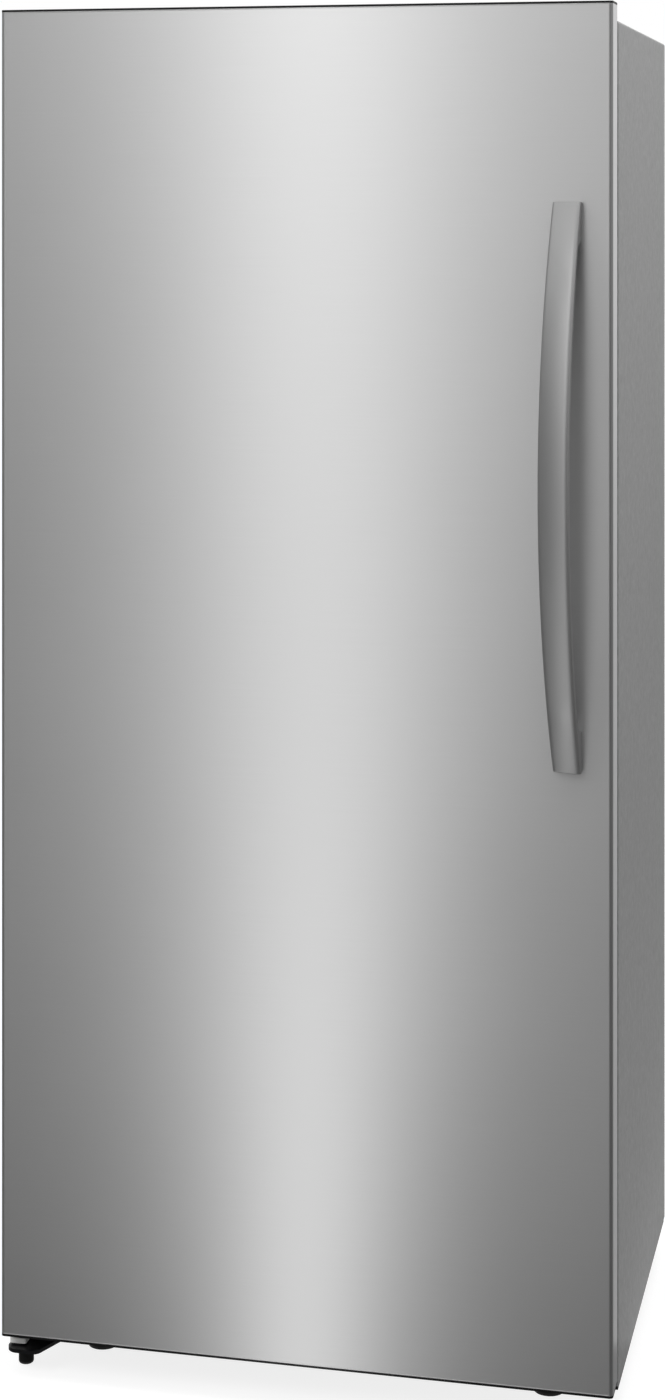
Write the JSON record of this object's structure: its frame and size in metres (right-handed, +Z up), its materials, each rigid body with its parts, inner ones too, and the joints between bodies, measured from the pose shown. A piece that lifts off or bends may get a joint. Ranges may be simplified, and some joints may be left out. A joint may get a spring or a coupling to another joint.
{
  "type": "upright freezer",
  "caption": "Tall single-door upright freezer in brushed stainless steel with a bowed bar handle, grey sides, wire shelves, slide-out baskets and door bins.",
  "frame": {"origin": "middle of the footprint, handle included, on the floor", "axes": "+Z up, the door faces -Y, the handle is on the +X side and the door hinge on the -X side"},
  "size_m": [0.838, 0.735, 1.87],
  "materials": {
    "stainless": "horizontal brushed, satin",
    "handle_metal": "satin",
    "grey_steel": "fine embossed grey paint",
    "galvanised": "zinc coated, matt",
    "black_steel": "black paint",
    "zinc_steel": "bright zinc",
    "grey_nylon": "natural nylon",
    "black_plastic": "moulded",
    "white_liner": "vacuum formed, semi gloss",
    "white_wire": "white epoxy coat",
    "frosted_plastic": "translucent",
    "bin_plastic": "moulded white",
    "foam": "rigid foam",
    "gasket": "soft matt",
    "aluminium": "plain",
    "rubber": "matt",
    "copper": "drawn tube"
  },
  "bodies": {
    "cabinet": {"inner_liner": "white_liner", "side_panel_left": "grey_steel", "side_panel_right": "grey_steel", "roof_panel": "grey_steel", "front_sill": "grey_steel", "back_panel": "galvanised", "cabinet_foam": "foam", "machine_bulkhead": "galvanised", "base_pan": "black_steel", "wheel_brackets": "zinc_steel", "wheel_axles": "zinc_steel", "bottom_hinge_plate": "black_steel", "bottom_hinge_pin": "zinc_steel", "bottom_hinge_screws": "zinc_steel", "hinge_cam_lower": "grey_nylon", "top_hinge_plate": "zinc_steel", "top_hinge_pin": "zinc_steel", "top_hinge_screws": "zinc_steel", "top_hinge_cover": "black_plastic", "control_housing": "white_liner", "light_lens": "frosted_plastic", "evaporator_cover": "white_liner", "evaporator_coil": "aluminium", "fan_motor": "black_plastic", "compressor": "black_steel", "compressor_grommets": "rubber", "start_relay": "black_plastic", "refrigerant_lines": "copper", "filter_drier": "copper", "drain_pan": "black_plastic", "machine_cover": "galvanised", "machine_cover_screws": "zinc_steel", "shelf_1": "white_wire", "shelf_2": "white_wire", "shelf_3": "white_wire", "shelf_4": "white_wire"},
    "door": {"door_skin": "stainless", "door_top_cap": "black_plastic", "door_bottom_cap": "black_plastic", "door_foam": "foam", "door_liner": "white_liner", "door_gasket": "gasket", "handle_bar": "handle_metal", "handle_studs": "zinc_steel", "hinge_bush_top": "grey_nylon", "hinge_cam_upper": "black_plastic"},
    "foot_left": {"foot_left": "black_plastic"},
    "foot_right": {"foot_right": "black_plastic"},
    "hinge_leg": {"hinge_leg": "black_plastic"},
    "rear_wheel_left": {"rear_wheel_left": "black_plastic"},
    "rear_wheel_right": {"rear_wheel_right": "black_plastic"},
    "basket_upper": {"basket_upper": "frosted_plastic"},
    "basket_lower": {"basket_lower": "frosted_plastic"},
    "control_dial": {"control_dial": "white_liner"},
    "fan_blade": {"fan_blade": "black_plastic"},
    "door_bin_1": {"door_bin_1": "bin_plastic"},
    "door_bin_2": {"door_bin_2": "bin_plastic"},
    "door_bin_3": {"door_bin_3": "bin_plastic"},
    "door_bin_4": {"door_bin_4": "bin_plastic"},
    "door_bin_5": {"door_bin_5": "bin_plastic"}
  },
  "joints": [
    {"name": "door_hinge", "type": "hinge", "parent": "cabinet", "child": "door", "pos_m": [-0.404, -0.2455, 0.964], "axis": [0, 0, -1], "range_deg": [0, 110]},
    {"name": "basket_upper_slide", "type": "slide", "parent": "cabinet", "child": "basket_upper", "axis": [0, -1, 0], "range_m": [0, 0.165]},
    {"name": "basket_lower_slide", "type": "slide", "parent": "cabinet", "child": "basket_lower", "axis": [0, -1, 0], "range_m": [0, 0.16]},
    {"name": "dial_turn", "type": "hinge", "parent": "cabinet", "child": "control_dial", "pos_m": [0.095, -0.1145, 1.766], "axis": [0, -1, 0], "range_deg": [-135, 135]},
    {"name": "fan_spin", "type": "hinge", "parent": "cabinet", "child": "fan_blade", "pos_m": [0, 0.2715, 1.238], "axis": [0, -1, 0], "continuous": true},
    {"name": "foot_left_turn", "type": "hinge", "parent": "cabinet", "child": "foot_left", "pos_m": [-0.316, -0.1465, 0.048], "axis": [0, 0, 1], "continuous": true},
    {"name": "foot_right_turn", "type": "hinge", "parent": "cabinet", "child": "foot_right", "pos_m": [0.316, -0.1465, 0.048], "axis": [0, 0, 1], "continuous": true},
    {"name": "hinge_leg_turn", "type": "hinge", "parent": "cabinet", "child": "hinge_leg", "pos_m": [-0.402, -0.227, 0.031], "axis": [0, 0, 1], "continuous": true},
    {"name": "rear_wheel_left_spin", "type": "hinge", "parent": "cabinet", "child": "rear_wheel_left", "pos_m": [-0.329, 0.3075, 0.02], "axis": [1, 0, 0], "continuous": true},
    {"name": "rear_wheel_right_spin", "type": "hinge", "parent": "cabinet", "child": "rear_wheel_right", "pos_m": [0.329, 0.3075, 0.02], "axis": [1, 0, 0], "continuous": true},
    {"name": "door_bin_1_lift", "type": "slide", "parent": "door", "child": "door_bin_1", "axis": [0, 0, 1], "range_m": [0, 0.024]},
    {"name": "door_bin_2_lift", "type": "slide", "parent": "door", "child": "door_bin_2", "axis": [0, 0, 1], "range_m": [0, 0.024]},
    {"name": "door_bin_3_lift", "type": "slide", "parent": "door", "child": "door_bin_3", "axis": [0, 0, 1], "range_m": [0, 0.024]},
    {"name": "door_bin_4_lift", "type": "slide", "parent": "door", "child": "door_bin_4", "axis": [0, 0, 1], "range_m": [0, 0.024]},
    {"name": "door_bin_5_lift", "type": "slide", "parent": "door", "child": "door_bin_5", "axis": [0, 0, 1], "range_m": [0, 0.024]}
  ],
  "couplings": [
    {"joint": "basket_upper_slide", "follows": "door_hinge", "m_per_rad": 0.0859},
    {"joint": "basket_lower_slide", "follows": "door_hinge", "m_per_rad": 0.0833}
  ]
}
